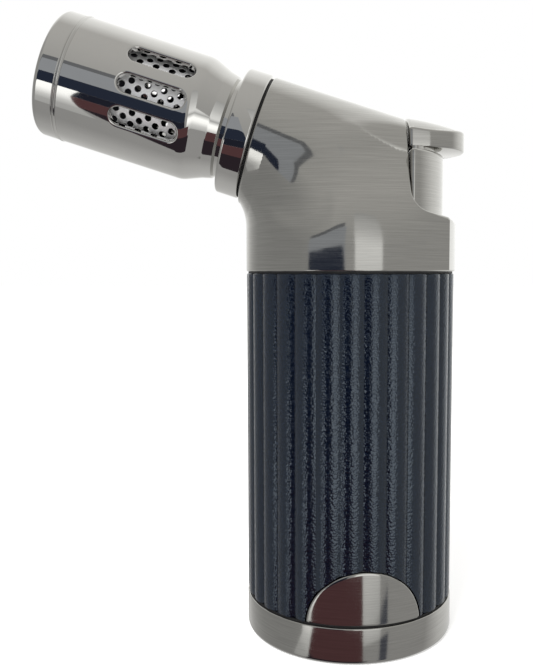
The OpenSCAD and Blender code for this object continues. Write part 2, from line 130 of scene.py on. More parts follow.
def put_mesh(name, verts, faces, body, slot, replaces=(), normals=None, sharp=35):
    """A piece from millimetre vertices; it rides on a body and wears the slot's material."""
    if normals is not None:
        faces = faced(verts, faces, normals)
    obj = add_mesh(name, verts, faces)
    mesh = obj.data
    mesh.update()
    mesh.shade_smooth()
    if normals is None:
        mesh.set_sharp_from_angle(angle=math.radians(sharp))
    else:
        mesh.normals_split_custom_set_from_vertices([tuple(n) for n in normals])
    mesh.materials.append(MATERIALS[slot])
    if body:
        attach(obj, body)
    if replaces:
        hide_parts(*replaces)
    return obj


class Builder:
    """Collects grids of vertices, and their normals where they are known."""

    def __init__(self):
        self.verts, self.faces, self.normals = [], [], []
        self.count = 0

    def add(self, points, normals=None):
        points = np.asarray(points, float).reshape(-1, 3)
        first = self.count
        self.verts.append(points)
        if normals is not None:
            self.normals.append(np.asarray(normals, float).reshape(-1, 3))
        self.count += len(points)
        return first

    def grid(self, rows, normals=None, wrap=True, flip=False, ring=False):
        """Quads over (rows, columns, 3), closed along its columns if wrap and its rows if ring."""
        rows = np.asarray(rows, float)
        n, m = rows.shape[:2]
        first = self.add(rows, normals)
        for i in range(n if ring else n - 1):
            here, after = first + i * m, first + (i + 1) % n * m
            for j in range(m if wrap else m - 1):
                k = (j + 1) % m
                quad = here + j, here + k, after + k, after + j
                self.faces.append(quad[:1] + quad[:0:-1] if flip else quad)

    def fan(self, centre, first, m, flip=False, normal=None):
        """Triangles from a centre point to a ring of m vertices."""
        c = self.add([centre], None if normal is None else [normal])
        for j in range(m):
            k = (j + 1) % m
            self.faces.append((c, first + k, first + j) if flip else (c, first + j, first + k))

    def arrays(self):
        normals = np.concatenate(self.normals) if self.normals else None
        return np.concatenate(self.verts), self.faces, normals


def round_profile(points, radii, steps=5):
    """A polyline whose inner corners are rounded, each by its own radius."""
    out = [np.array(points[0], float)]
    for i in range(1, len(points) - 1):
        a, b, c = (np.array(points[k], float) for k in (i - 1, i, i + 1))
        r = radii[i - 1]
        if r <= 0:
            out.append(b)
            continue
        u, v = (a - b) / np.linalg.norm(a - b), (c - b) / np.linalg.norm(c - b)
        half = math.acos(np.clip(u @ v, -1, 1)) / 2
        reach = r / math.tan(half)
        centre = b + (u + v) / np.linalg.norm(u + v) * r / math.sin(half)
        start, end = b + u * reach - centre, b + v * reach - centre
        sweep = math.atan2(start[0] * end[1] - start[1] * end[0], start @ end)
        for k in range(steps + 1):
            t = sweep * k / steps
            out.append(centre + np.array([
                start[0] * math.cos(t) - start[1] * math.sin(t),
                start[0] * math.sin(t) + start[1] * math.cos(t),
            ]))
    out.append(np.array(points[-1], float))
    return np.array(out)


def turned(profile, origin, axis, across, sides):
    """Rows of rings for a (radius, station) profile turned about an axis."""
    across2 = np.cross(axis, across)
    turn = full_turn(sides)[:, None]
    around = np.cos(turn) * across + np.sin(turn) * across2
    return np.array([origin + s * axis + r * around for r, s in profile])


def away_from_axis(turn):
    """Unit vectors out of the barrel's axis; turn 0 is the upper side."""
    turn = np.asarray(turn)[..., None]
    return np.cos(turn) * UPPER + np.sin(turn) * SIDE


def on_cylinder(radius, turn, station):
    """Points on a cylinder about the barrel's axis; radius and station are numbers or arrays."""
    station, radius = np.asarray(station)[..., None], np.asarray(radius)[..., None]
    return AXIS_AT + station * AXIS + radius * away_from_axis(turn)


def quarter(steps):
    """(1 - cosine, 1 - sine) at even steps through a quarter turn, for rounded edges."""
    return [(1 - math.cos(t), 1 - math.sin(t)) for t in np.linspace(0, math.pi / 2, steps + 1)]


def arc_points(radius, turns, centre=(0, 0)):
    """Points of a flat arc at the given angles."""
    return [(centre[0] + radius * math.cos(t), centre[1] + radius * math.sin(t)) for t in turns]


def full_turn(count):
    """Even angles round a circle."""
    return np.linspace(0, 2 * math.pi, count, endpoint=False)


def ring_solid(rows, low=None, high=None):
    """Vertices and faces of a stack of rings, closed by a fan at each end."""
    rows = np.asarray(rows, float)
    n, m = rows.shape[:2]
    b = Builder()
    b.grid(rows)
    b.fan(rows[0].mean(0) if low is None else low, 0, m, flip=True)
    b.fan(rows[-1].mean(0) if high is None else high, (n - 1) * m, m)
    return b.arrays()[:2]


def resmooth(obj, angle):
    """Smooth shading with crisp edges above an angle, after a mesh edit."""
    obj.data.shade_smooth()
    obj.data.set_sharp_from_angle(angle=math.radians(angle))


def weld(obj):
    """Merges coincident vertices and points every face outwards."""
    work = bmesh.new()
    work.from_mesh(obj.data)
    bmesh.ops.remove_doubles(work, verts=work.verts, dist=1e-7)
    bmesh.ops.recalc_face_normals(work, faces=work.faces)
    work.to_mesh(obj.data)
    work.free()


def cutter_solid(rows):
    """A closed solid from rings, to cut with."""
    obj = add_mesh("cutter", *ring_solid(rows))
    weld(obj)
    return obj


def cut_with(obj, cutters):
    """Cuts shapes out of a piece, exactly, and drops the cutters."""
    for cutter in cutters:
        mod = obj.modifiers.new("cut", "BOOLEAN")
        mod.operation, mod.solver, mod.object = "DIFFERENCE", "EXACT", cutter
    graph = bpy.context.evaluated_depsgraph_get()
    made = bpy.data.meshes.new_from_object(obj.evaluated_get(graph))
    obj.modifiers.clear()
    obj.data = made
    for cutter in cutters:
        bpy.data.objects.remove(cutter)


# ---- Materials ----
def new_material(name):
    """A material, its node tree and its shader."""
    mat = bpy.data.materials.new(name)
    mat.use_nodes = True
    tree = mat.node_tree
    return mat, tree, tree.nodes["Principled BSDF"]


def settle(node, **values):
    """Sets a node's own sockets; an underscore stands for the space in a socket's name."""
    for name, value in values.items():
        node.inputs[name.replace("_", " ")].default_value = value


def link_noise(tree, scale, detail=3.0, stretch=(1, 1, 1), roughness=0.5):
    """A noise texture on object coordinates, stretched along some axes."""
    coords = tree.nodes.new("ShaderNodeTexCoord")
    mapping = tree.nodes.new("ShaderNodeMapping")
    settle(mapping, Scale=stretch)
    noise = tree.nodes.new("ShaderNodeTexNoise")
    settle(noise, Scale=scale, Detail=detail, Roughness=roughness)
    tree.links.new(coords.outputs["Object"], mapping.inputs["Vector"])
    tree.links.new(mapping.outputs["Vector"], noise.inputs["Vector"])
    return noise.outputs["Fac"]


def link_ramp(tree, source, low, high, from_low=0.3, from_high=0.7):
    """Maps a factor to a range of numbers."""
    node = tree.nodes.new("ShaderNodeMapRange")
    settle(node, From_Min=from_low, From_Max=from_high, To_Min=low, To_Max=high)
    tree.links.new(source, node.inputs["Value"])
    return node.outputs["Result"]


def link_stops(tree, source, stops, low, high):
    """Colours by stops of (value, colour), where the values run from low to high."""
    ramp = tree.nodes.new("ShaderNodeValToRGB")
    elements = ramp.color_ramp.elements
    while len(elements) < len(stops):
        elements.new(0.5)
    for element, (at, colour) in zip(elements, stops):
        element.position = (at - low) / (high - low)
        element.color = (*colour, 1)
    tree.links.new(source, ramp.inputs["Fac"])
    return ramp.outputs["Color"]


def link_colours(tree, factor, low, high):
    """Mixes two colours by a factor; either may be a node's output."""
    node = tree.nodes.new("ShaderNodeMix")
    node.data_type = "RGBA"
    tree.links.new(factor, node.inputs["Factor"])
    for name, value in (("A", low), ("B", high)):
        if isinstance(value, tuple):
            node.inputs[name].default_value = (*value, 1)
        else:
            tree.links.new(value, node.inputs[name])
    return node.outputs["Result"]


def link_bump(tree, source, shader, strength, distance_mm, under=None):
    """A bump on the shader's normal; under is a broader bump that it goes on."""
    node = tree.nodes.new("ShaderNodeBump")
    settle(node, Strength=strength, Distance=distance_mm * MM)
    tree.links.new(source, node.inputs["Height"])
    if under is not None:
        tree.links.new(under.outputs["Normal"], node.inputs["Normal"])
    tree.links.new(node.outputs["Normal"], shader.inputs["Normal"])
    return node


def brushed_metal():
    """Gunmetal plate with fine horizontal brush lines."""
    mat, tree, shader = new_material("gunmetal_brushed")
    settle(shader, Metallic=1, Anisotropic=0.35)
    tangent = tree.nodes.new("ShaderNodeTangent")
    tangent.direction_type = "RADIAL"
    tangent.axis = "Z"
    tree.links.new(tangent.outputs["Tangent"], shader.inputs["Tangent"])
    lines = link_noise(tree, 1, 4, (110, 110, 7000), 0.65)
    broad = link_noise(tree, 90, 2, (1, 1, 3))
    tone = link_colours(tree, link_ramp(tree, lines, 0, 1), GUNMETAL_LOW, GUNMETAL_HIGH)
    tree.links.new(tone, shader.inputs["Base Color"])
    both = tree.nodes.new("ShaderNodeMath")
    both.operation = "ADD"
    tree.links.new(link_ramp(tree, lines, 0.05, 0.11), both.inputs[0])
    tree.links.new(link_ramp(tree, broad, 0, 0.02), both.inputs[1])
    tree.links.new(both.outputs[0], shader.inputs["Roughness"])
    link_bump(tree, lines, shader, 0.1, 0.012)
    return mat


def surface(kind, name, low, high, rough_low, rough_high):
    """A material of a kind below, between two colours and two roughnesses."""
    metallic, pattern, bump = kind
    mat, tree, shader = new_material(name)
    settle(shader, Metallic=metallic)
    noise = link_noise(tree, *pattern)
    tree.links.new(link_colours(tree, noise, low, high), shader.inputs["Base Color"])
    tree.links.new(link_ramp(tree, noise, rough_low, rough_high), shader.inputs["Roughness"])
    if bump:
        link_bump(tree, noise, shader, *bump)
    return mat


def grained_sleeve():
    """Navy-black sleeve with a fine leather grain that glints."""
    mat, tree, shader = new_material("sleeve_grain")
    settle(shader, Specular_IOR_Level=1, Specular_Tint=(0.74, 0.87, 1.0, 1))
    coords = tree.nodes.new("ShaderNodeTexCoord")
    cells = tree.nodes.new("ShaderNodeTexVoronoi")
    cells.feature = "SMOOTH_F1"
    settle(cells, Scale=2700, Smoothness=0.2, Randomness=1)
    tree.links.new(coords.outputs["Object"], cells.inputs["Vector"])
    fine = link_noise(tree, 3800, 3, (1, 1, 1), 0.6)
    tone = link_colours(tree, link_ramp(tree, cells.outputs["Distance"], 1, 0, 0.1, 0.6),
                        SLEEVE_LOW, SLEEVE_HIGH)
    tree.links.new(tone, shader.inputs["Base Color"])
    tree.links.new(link_ramp(tree, fine, 0.08, 0.16), shader.inputs["Roughness"])
    first = link_bump(tree, cells.outputs["Distance"], shader, 0.9, 0.05)
    first.invert = True
    link_bump(tree, fine, shader, 0.3, 0.012, first)
    return mat


GUNMETAL_LOW, GUNMETAL_HIGH = (0.45, 0.445, 0.425), (0.56, 0.555, 0.53)
SLEEVE_LOW, SLEEVE_HIGH = (0.0008, 0.002, 0.007), (0.004, 0.007, 0.015)
# Each kind: its share of metal, its noise (scale, detail, stretch, roughness), its bump (strength, mm)
POLISHED = 1, (160, 5, (1, 1, 1), 0.6), None
SATIN = 0.55, (160, 5, (1, 1, 1), 0.6), None
TURNED = 1, (1, 3, (400, 400, 5000)), (0.1, 0.02)
PLAIN = 0, (600, 4), (0.1, 0.05)
MATERIALS = {"gunmetal_brushed": brushed_metal(), "sleeve_grain": grained_sleeve()}
for kind, slot, *look in (
        (POLISHED, "black_chrome", (0.62, 0.615, 0.595), (0.68, 0.675, 0.655), 0.02, 0.05),
        (SATIN, "bright_chrome", (0.86, 0.86, 0.87), (0.94, 0.94, 0.95), 0.28, 0.36),
        (TURNED, "steel", (0.50, 0.50, 0.51), (0.62, 0.62, 0.63), 0.2, 0.35),
        (TURNED, "brass", (0.66, 0.46, 0.20), (0.80, 0.60, 0.30), 0.2, 0.35),
        (PLAIN, "black_rubber", (0.006, 0.006, 0.007), (0.014, 0.014, 0.015), 0.5, 0.7),
        (PLAIN, "clear_nylon", (0.70, 0.70, 0.66), (0.82, 0.82, 0.78), 0.35, 0.5),
        (PLAIN, "black_nylon", (0.020, 0.020, 0.022), (0.035, 0.035, 0.037), 0.4, 0.55),
        (PLAIN, "white_ceramic", (0.80, 0.78, 0.74), (0.90, 0.88, 0.84), 0.15, 0.25),
        (PLAIN, "wire_jacket", (0.28, 0.02, 0.02), (0.38, 0.04, 0.03), 0.35, 0.5)):
    MATERIALS[slot] = surface(kind, slot, *look)
# Near-black steel for the liner's inside and hole walls only: painted shade for the dark inside of the
# enclosed tube; it is not a slot of the CAD
LINER_SHADE_PAINT = surface(TURNED, "liner_inside_painted_shade", (0.010, 0.010, 0.014), (0.03, 0.03, 0.036), 0.3, 0.45)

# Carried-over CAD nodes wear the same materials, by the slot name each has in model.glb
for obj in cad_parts.values():
    for place in obj.material_slots:
        place.material = MATERIALS[place.material.name]


# ---- Base cup ----
def rod_cutter(x, y, radius, top):
    """A rod up through the base's floor."""
    turn = full_turn(64)
    ring = np.stack([x + radius * np.cos(turn), y + radius * np.sin(turn), turn * 0], 1)
    return cutter_solid([ring - UP, ring + UP * top])


def build_base():
    """The cup, with openings for the refill valve, the dial and two screws."""
    centre_r = 0.6
    outer = round_profile(
        [(centre_r, 0), (BODY_R, 0), (BODY_R, BASE_TOP), (SLEEVE_IN_R, BASE_TOP),
         (SLEEVE_IN_R, BASE_FLOOR), (centre_r, BASE_FLOOR)],
        [0.8, 0.2, 0.1, 0.6], 8)
    rows = turned(outer, np.zeros(3), UP, np.array([1.0, 0, 0]), 240)
    verts, faces = ring_solid(rows, [0, 0, 0], [0, 0, BASE_FLOOR])
    base = put_mesh("BaseCup", verts, faces, "housing", "gunmetal_brushed", ["base_cup"])
    weld(base)
    refill_r, dial_r, screw_r, screw_head_r = 2.75, 3.7, 1.1, 2.2
    through, screw_seat = BASE_FLOOR + 1, 1.6
    cutters = [rod_cutter(REFILL_X, 0, refill_r, through), rod_cutter(VALVE_X, 0, dial_r, through)]
    for y in (-SCREW_Y, SCREW_Y):
        cutters += [rod_cutter(0, y, screw_r, through), rod_cutter(0, y, screw_head_r, screw_seat)]
    cut_with(base, cutters)
    resmooth(base, 30)


# ---- Grip sleeve ----
REEDS = 29
REED_TURN = math.radians(1.3)
REED_DEPTH = 0.5
PLATE_TURN = math.radians(5.8)
PLATE_R = 9.8


def sleeve_radius(angle):
    """Outer radius of the reeded sleeve: convex arcs that meet in sharp grooves."""
    half = math.pi / REEDS
    groove = SLEEVE_R - REED_DEPTH
    chord, fall = groove * math.sin(half), SLEEVE_R - groove * math.cos(half)
    reed_r = (chord ** 2 + fall ** 2) / (2 * fall)
    centre = SLEEVE_R - reed_r
    off = (angle - REED_TURN) % (2 * half) - half
    return centre * np.cos(off) + np.sqrt(reed_r ** 2 - (centre * np.sin(off)) ** 2)


def build_sleeve():
    """A reeded tube with softened ends, cut out for the plate."""
    per_reed, edge = 14, 0.25
    m = REEDS * per_reed
    turn = REED_TURN + full_turn(m)
    out = sleeve_radius(turn)
    bore = np.full(m, SLEEVE_IN_R)
    rings = [(bore, SLEEVE_Z0)]
    rings += [(out - edge * rise, SLEEVE_Z0 + edge * fall) for fall, rise in quarter(3)]
    rings += [(out, z) for z in np.linspace(SLEEVE_Z0 + 1, SLEEVE_Z1 - 1, 40)]
    rings += [(out - edge * fall, SLEEVE_Z1 - edge * rise) for fall, rise in quarter(3)]
    rings += [(bore, SLEEVE_Z1), (bore, SLEEVE_Z0)]
    b = Builder()
    b.grid([np.stack([r * np.cos(turn), r * np.sin(turn), np.full(m, z)], 1) for r, z in rings])
    verts, faces, _ = b.arrays()
    sleeve = put_mesh("GripSleeve", verts, faces, "housing", "sleeve_grain", ["grip_sleeve"])
    weld(sleeve)
    cut_with(sleeve, [plate_cutter()])
    resmooth(sleeve, 24)


PLATE_OUT = np.array([math.sin(PLATE_TURN), -math.cos(PLATE_TURN), 0.0])
PLATE_RIGHT = np.array([math.cos(PLATE_TURN), math.sin(PLATE_TURN), 0.0])
PLATE_MID_Z = PLATE_TOP - PLATE_R


def plate_cutter():
    """The plate's round, a little larger, for the sleeve's opening."""
    gap = 0.2
    turn = full_turn(128)[:, None]
    ring = (PLATE_R + gap) * (np.cos(turn) * PLATE_RIGHT + np.sin(turn) * UP) + UP * PLATE_MID_Z
    return cutter_solid([ring + PLATE_OUT * d for d in (10, 24)])


def build_plate():
    """Half-moon plate that follows the sleeve's round, with softened edges."""
    corner, corner_turn, edge, gap = 0.35, 0.02, 0.22, 0.05
    low = SLEEVE_Z0 + gap - PLATE_MID_Z
    half = math.sqrt(PLATE_R ** 2 - low ** 2)
    first_turn = math.asin(low / PLATE_R) + corner_turn
    outline = arc_points(PLATE_R, np.linspace(first_turn, math.pi - first_turn, 97))
    outline += [(x, low) for x in np.linspace(-half + corner, half - corner, 61)]
    outline = np.array(outline)
    centre = np.array([0.0, PLATE_R * 0.42])
    outward = outline - centre
    reach = np.linalg.norm(outward, axis=1)[:, None]

    def row(points, radius):
        x, z = points[:, :1], points[:, 1:]
        return x * PLATE_RIGHT + np.sqrt(radius ** 2 - x ** 2) * PLATE_OUT + (z + PLATE_MID_Z) * UP

    rows = [row(centre + outward * (1 - edge / reach) * share, SLEEVE_R)
            for share in np.linspace(0.04, 1, 22)[:-1]]
    rows += [row(centre + outward * (1 - edge * rise / reach), SLEEVE_R - edge * fall)
             for fall, rise in quarter(4)]
    rows.append(row(outline, SLEEVE_IN_R))
    verts, faces = ring_solid(rows)
    plate = put_mesh("HalfMoonPlate", verts, faces, "housing", "gunmetal_brushed", ["half_moon_plate"])
    weld(plate)
    resmooth(plate, 40)


# ---- Head shell: a smooth blend of a round skirt, sloping shoulders and the tube ----
TUBE_END = 17.4
HEAD_END = 17.65
FOOT_EDGE = 0.25
END_EDGE = 0.35
CUT_EDGE = 0.3
CUT_DEPTH = 1.9
ARCH_MID_Z, WALL_MID_Z = 70, 76


def soft_min(a, b, k):
    """The lesser of two fields, blended over a distance k."""
    h = np.clip(0.5 + 0.5 * (b - a) / k, 0, 1)
    return b * (1 - h) + a * h - k * h * (1 - h)


def soft_max(a, b, k):
    return -soft_min(-a, -b, k)


def smooth_step(t):
    """0 to 1 with level ends, as t goes from 0 to 1."""
    t = np.clip(t, 0, 1)
    return t * t * (3 - 2 * t)


def shoulder_field(x, y, z, u):
    """The sloping planes that take the round skirt in to the tube, behind and in front."""
    lean, rear_reach, rear_top, blend = math.radians(55), 10.6, 3, 2.0
    rear_plane = u * math.cos(lean) + y * math.sin(lean) - rear_reach
    # The front plane faces up and out, through a point on the skirt's edge
    turn, lean, at, edge_z = math.radians(30), math.radians(59), math.radians(26), 72.4
    facing = np.array([-math.sin(turn) * math.sin(lean), math.cos(turn) * math.sin(lean), math.cos(lean)])
    through = np.array([-BODY_R * math.sin(at), BODY_R * math.cos(at), edge_z])
    front_plane = np.stack([x, y, z], -1) @ facing - through @ facing
    return soft_max(np.maximum(rear_plane, u - rear_top), front_plane, blend)


def head_field(p):
    """Signed distance-like field of the head's outer form, in millimetres."""
    x, y, z = p[..., 0], np.abs(p[..., 1]), p[..., 2]
    s = x * AXIS[0] + (z - AXIS_AT[2]) * AXIS[2]
    u = x * UPPER[0] + (z - AXIS_AT[2]) * UPPER[2]
    # Towards the rear the tube widens and sinks, and its sides become flat
    rear_from, rear_over, back_x = 9, 17, 14
    rear = smooth_step((rear_from - s) / rear_over)
    flare_end, flare, rear_r = 3.5, 0.14, 14.6
    back = TUBE_END - s
    widest = TUBE_R + flare * (TUBE_END - flare_end)
    crown_r = TUBE_R + flare * np.clip(back, 0, TUBE_END - flare_end) + (rear_r - widest) * rear
    middle = TUBE_R - crown_r
    sink, sink_from = 0.45, 2.5
    drop = sink * np.clip(back - sink_from, 0, 30)
    off_middle = np.maximum(u - middle, 0) + np.minimum(u - middle + drop, 0)
    crown = np.hypot(y, off_middle) - crown_r
    front_half, rear_half = 14.4, 9.1
    walls = y - (front_half - (front_half - rear_half) * rear)
    tube = np.maximum(soft_max(crown, walls, 2.2), x - back_x)
    # These two blends grow towards the rear
    body = soft_max(np.hypot(x, y) - BODY_R, shoulder_field(x, y, z, u), 1.2 + 1.6 * rear)
    return soft_min(tube, body, 4.2 + 1.8 * rear)


def cut_field(p):
    """Negative on the side of the rear cut that is kept."""
    x, z = p[..., 0], p[..., 2]
    ahead = CUT_X - x + LIP_FILLET
    under = (LIP_Z - LIP_FALL * (x - CUT_X) - z) * math.cos(math.atan(LIP_FALL)) + LIP_FILLET
    round_part = np.hypot(np.maximum(ahead, 0), np.maximum(under, 0))
    return LIP_FILLET - np.minimum(np.maximum(ahead, under), 0) - round_part


def gradient(field, p, h=0.01):
    """A field's slope at points, by central differences."""
    out = np.empty_like(p)
    for k in range(3):
        step = np.zeros(3)
        step[k] = h
        out[..., k] = (field(p + step) - field(p - step)) / (2 * h)
    return out


def unit(v):
    return v / np.linalg.norm(v, axis=-1, keepdims=True)


def cast(origin, direction, far=45.0, steps=180):
    """The point on each ray where it first leaves the head, found by halving a step."""
    t = np.linspace(0, far, steps)
    points = origin[..., None, :] + t[:, None] * direction[..., None, :]
    outside = head_field(points) > 0
    first = np.argmax(outside, axis=-1)
    low, high = t[np.maximum(first - 1, 0)], t[first]
    for _ in range(26):
        mid = (low + high) / 2
        out = head_field(origin + mid[..., None] * direction) > 0
        high = np.where(out, mid, high)
        low = np.where(out, low, mid)
    return origin + low[..., None] * direction


def head_rows(columns=288):
    """Rings from the skirt's foot up to the tube's end, all on the head's outer form."""
    turn = full_turn(columns)[:, None]
    pivot_z = 74.0
    level = np.hstack([np.cos(turn), np.sin(turn), turn * 0])
    rows = [cast(np.broadcast_to(UP * z, level.shape), level)
            for z in np.linspace(HEAD_Z + FOOT_EDGE, pivot_z - 0.4, 12)]
    # From level to square with the barrel's axis, the rings fan out about a pivot
    at_end = AXIS_AT + AXIS * (HEAD_END - END_EDGE)
    tilt_end = math.pi / 2 - TILT
    back = (at_end[2] - pivot_z) / math.sin(tilt_end)
    pivot = np.array([at_end[0] - back * math.cos(tilt_end), 0, pivot_z])
    for a in np.linspace(0, tilt_end, 110):
        v = np.array([math.cos(a), 0, math.sin(a)])
        share = a / tilt_end
        origin = pivot + v * (-pivot[0] * (1 - share) + back * share)
        d = np.cos(turn) * v + np.sin(turn) * SIDE
        rows.append(cast(np.broadcast_to(origin, d.shape), d))
    return np.array(rows)


def clip_mesh(verts, tris, level):
    """Keeps the triangles' side where level is negative; returns vertices, faces and cut edges."""
    verts, faces, made, border = list(verts), [], {}, []

    def crossing(i, j):
        key = (min(i, j), max(i, j))
        if key not in made:
            t = level[i] / (level[i] - level[j])
            made[key] = len(verts)
            verts.append(verts[i] + (verts[j] - verts[i]) * t)
        return made[key]

    for tri in tris:
        inside = [level[k] < 0 for k in tri]
        if all(inside):
            faces.append(tri)
        if all(inside) or not any(inside):
            continue
        loop, ends = [], {}
        for k in range(3):
            i, j = tri[k], tri[(k + 1) % 3]
            if level[i] < 0:
                loop.append(i)
            if (level[i] < 0) != (level[j] < 0):
                loop.append(crossing(i, j))
                ends["leave" if level[i] < 0 else "enter"] = loop[-1]
        faces.append(tuple(loop))
        border.append((ends["leave"], ends["enter"]))
    return np.array(verts), faces, border


def cut_loop(border):
    """The cut's edges as one ordered loop of vertices."""
    after = dict(border)
    loop = [border[0][0]]
    while after[loop[-1]] != loop[0]:
        loop.append(after[loop[-1]])
    return np.array(loop)


def rim_centre(at, radius):
    """The centre line of the rounded rim, a rim radius inside both the head and the cut."""
    centre = at - gradient(head_field, at) * CUT_EDGE
    for _ in range(12):
        f, g = head_field(centre) + radius, cut_field(centre) + radius
        nf, ng = gradient(head_field, centre), gradient(cut_field, centre)
        ff, gg, fg = (nf * nf).sum(-1), (ng * ng).sum(-1), (nf * ng).sum(-1)
        det = ff * gg - fg * fg
        a, c = (g * fg - f * gg) / det, (f * fg - g * ff) / det
        centre = centre + a[:, None] * nf + c[:, None] * ng
    return centre


def slide(points, field, depth, share=1.0):
    """Points moved along a field's gradient to a depth below its surface, or a share of the way."""
    f, g = field(points) + depth, gradient(field, points)
    return points - share * f[:, None] * g / (g * g).sum(-1)[:, None]


def build_head():
    """The outer form, cut at the rear, with rounded edges and short returns inside."""
    rows = head_rows()
    whole = Builder()
    whole.grid(rows)
    tris = [tri for a, b, c, d in whole.faces for tri in ((a, b, c), (a, c, d))]
    verts = rows.reshape(-1, 3)
    verts, faces, border = clip_mesh(verts, tris, cut_field(verts) + CUT_EDGE)
    loop = cut_loop(border)
    at = verts[loop]
    # The rim grows rounder along the lip, over 6 mm from x = 12
    rounder, lip_from, lip_over = 0.5, 12, 6
    radius = CUT_EDGE + rounder * np.clip((at[:, 0] - lip_from) / lip_over, 0, 1)
    centre = rim_centre(at, radius)
    nf, ng = unit(gradient(head_field, centre)), unit(gradient(cut_field, centre))
    radius = radius[:, None]
    verts[loop] = centre + nf * radius
    normals = unit(gradient(head_field, verts))
    normals[loop] = nf
    b = Builder()
    b.add(verts, normals)
    b.faces += faces

    # Rounded rim, then the cut's face, then its return into the shell
    spread = np.arccos(np.clip((nf * ng).sum(-1), -1, 1))[:, None]
    strip, strip_n = [centre + nf * radius], [nf]
    for share in (0.25, 0.5, 0.75, 1.0):
        d = (np.sin((1 - share) * spread) * nf + np.sin(share * spread) * ng) / np.sin(spread)
        strip.append(centre + d * radius)
        strip_n.append(d)
    inner = strip[-1]
    for _ in range(12):
        inner = slide(slide(inner, head_field, CUT_DEPTH, 0.7), cut_field, 0)
    ng_in = unit(gradient(cut_field, inner))
    strip += [(strip[-1] + inner) / 2, inner]
    strip_n += [ng, ng_in]
    b.grid(strip, strip_n)
    across = unit(np.cross(ng_in, np.roll(inner, -1, 0) - np.roll(inner, 1, 0)))
    inward = -across * np.sign((across * nf).sum(-1))[:, None]
    b.grid([inner, inner - ng_in], [inward, inward])

    # The wall behind the thumb pad closes the arch of the cut
    arch = inner[inner[:, 0] < CUT_X + 0.02]
    arch = arch[np.argsort(np.arctan2(arch[:, 1], arch[:, 2] - ARCH_MID_Z))]
    foot = [[CUT_X, arch[-1][1], HEAD_Z + 1], [CUT_X, arch[0][1], HEAD_Z + 1]]
    wall = np.vstack([arch, foot])
    first = b.add(wall, np.tile([1.0, 0, 0], (len(wall), 1)))
    b.fan([CUT_X, 0, WALL_MID_Z], first, len(wall), normal=[1.0, 0, 0])

    # Rounded foot of the skirt and rounded end of the tube, each with its return inside
    along_end = ((rows[-1] - AXIS_AT) @ AXIS)[:, None] * AXIS
    for ring, out, way, edge, face, depth, flip in (
            (rows[0], unit(rows[0] * [1, 1, 0]), -UP, FOOT_EDGE, 0.75, 3, True),
            (rows[-1], unit(rows[-1] - AXIS_AT - along_end), AXIS, END_EDGE, 0.15, 4, False)):
        edge_rows = [ring + (way * (1 - rise) - out * fall) * edge for fall, rise in quarter(4)]
        edge_n = [out * (1 - fall) + way * (1 - rise) for fall, rise in quarter(4)]
        edge_rows.append(edge_rows[-1] - out * face)
        edge_n.append(np.tile(way, (len(ring), 1)))
        b.grid(edge_rows, edge_n, flip=flip)
        b.grid([edge_rows[-1], edge_rows[-1] - way * depth], [-out, -out], flip=flip)
    verts, faces, normals = b.arrays()
    put_mesh("HeadShell", verts, faces, "housing", "gunmetal_brushed", ["head_shell"], normals)


# ---- Trigger ----
def d_outline(radius, flat_x, corner, steps=72):
    """Plan of a round bar cut off at x = flat_x, with rounded corners."""
    corner_x = flat_x + corner
    corner_y = math.sqrt((radius - corner) ** 2 - corner_x ** 2)
    turn = math.atan2(corner_y, corner_x)
    top = arc_points(corner, np.linspace(turn, math.pi, 9), (corner_x, corner_y))
    bottom = [(x, -y) for x, y in reversed(top)]
    arc = arc_points(radius, np.linspace(-turn, turn, steps))
    return np.array([(flat_x, 0)] + bottom + arc[1:-1] + top)


def even_loop(points, count):
    """Points spaced evenly along a closed loop."""
    closed = np.vstack([points, points[:1]])
    gaps = np.linalg.norm(np.diff(closed, axis=0), axis=1)
    run = np.concatenate([[0], np.cumsum(gaps)])
    at = np.linspace(0, run[-1], count, endpoint=False)
    return np.stack([np.interp(at, run, closed[:, k]) for k in range(2)], 1)


def inset(points, by):
    """A loop moved inwards by a distance along its own normals."""
    along = np.roll(points, -1, 0) - np.roll(points, 1, 0)
    return points + unit(np.stack([-along[:, 1], along[:, 0]], 1)) * by


def build_post():
    """A round bar with a flat front; a narrower neck goes up into the pad."""
    front, corner, foot, edge, count = POST_LO[0] - 0.2, 0.55, 0.3, 0.45, 240
    low, shoulder = POST_LO[2], PAD_LO[2] - 0.8
    base = even_loop(d_outline(POST_R, front, corner), count)
    rows = [(inset(base, foot), low), (base, low + foot)]
    rows += [(base, z) for z in np.linspace(low + 2, shoulder - edge, 8)]
    rows += [(inset(base, edge * fall), shoulder - edge * rise) for fall, rise in quarter(5)[1:]]
    neck = even_loop(d_outline(POST_R - 1.5, front + 0.5, 0.6), count)
    rows += [(neck, shoulder), (neck, PAD_LO[2])]
    verts, faces = ring_solid([np.column_stack([p, np.full(count, z)]) for p, z in rows])
    put_mesh("TriggerPost", verts, faces, "trigger", "gunmetal_brushed", ["trigger_post"], sharp=30)


def pad_top(x, y):
    """Height of the thumb pad's domed top: a ridge that falls to the rear, round across."""
    back = x - PAD_LO[0]
    front_z, slope, droop, dome_r = 93.3, 0.12, 0.0125, 14.6
    ridge = front_z - slope * back - droop * back ** 2
    return ridge - (dome_r - np.sqrt(dome_r ** 2 - y ** 2))


